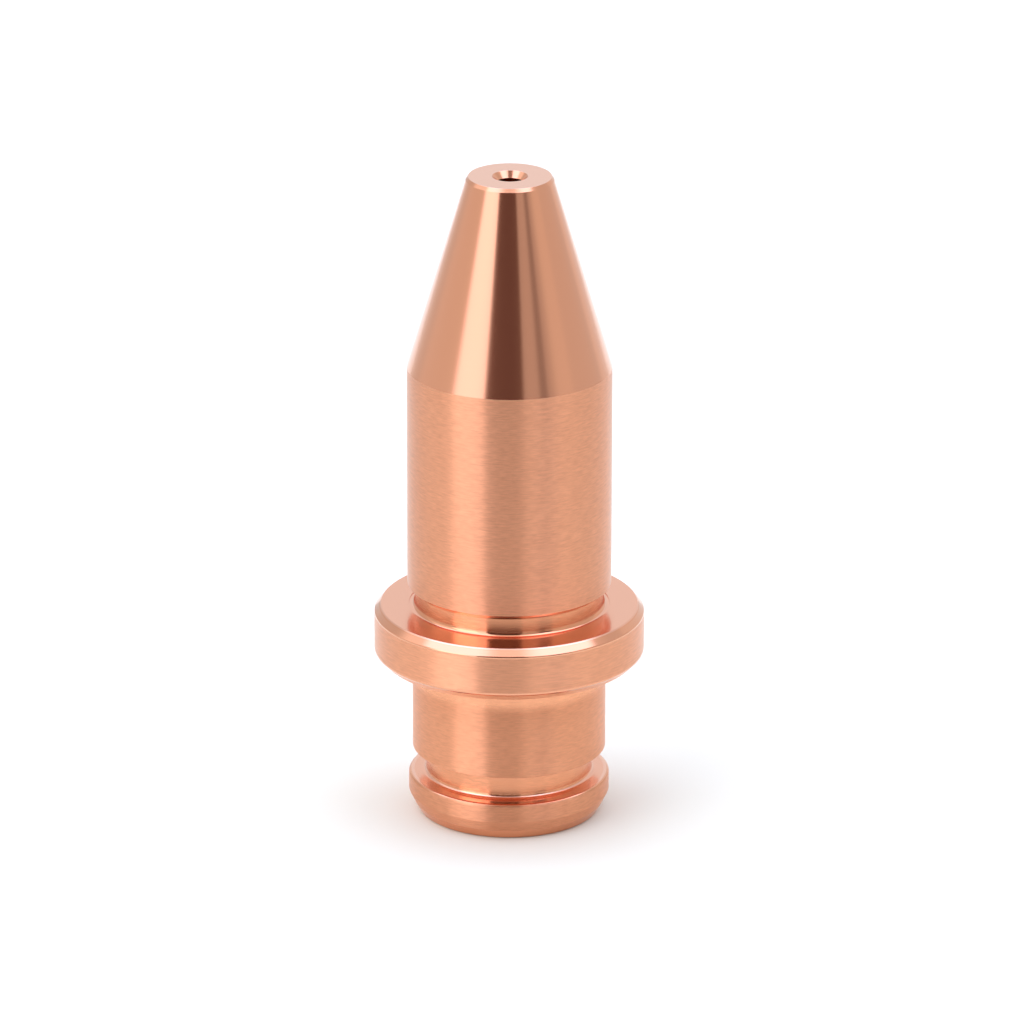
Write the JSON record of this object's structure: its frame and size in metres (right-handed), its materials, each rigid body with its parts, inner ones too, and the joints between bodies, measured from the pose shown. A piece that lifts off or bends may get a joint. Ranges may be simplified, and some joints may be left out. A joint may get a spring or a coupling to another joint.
{
  "type": "gas cutting nozzle",
  "caption": "Turned copper gas cutting nozzle: conical nose with a countersunk orifice, cylindrical body, seating flange and a grooved spigot that takes a seal.",
  "frame": {"origin": "centre of the base face, on the axis of turning, where the nozzle stands", "axes": "+Z along the axis of turning, from the base face towards the nose"},
  "size_m": [0.0159, 0.0158, 0.0391],
  "materials": {
    "turned_copper": "bright fine-turned copper, with fine turning lines round the axis and a smoother polished cone"
  },
  "bodies": {
    "root": {"nozzle": "turned_copper"}
  },
  "joints": []
}
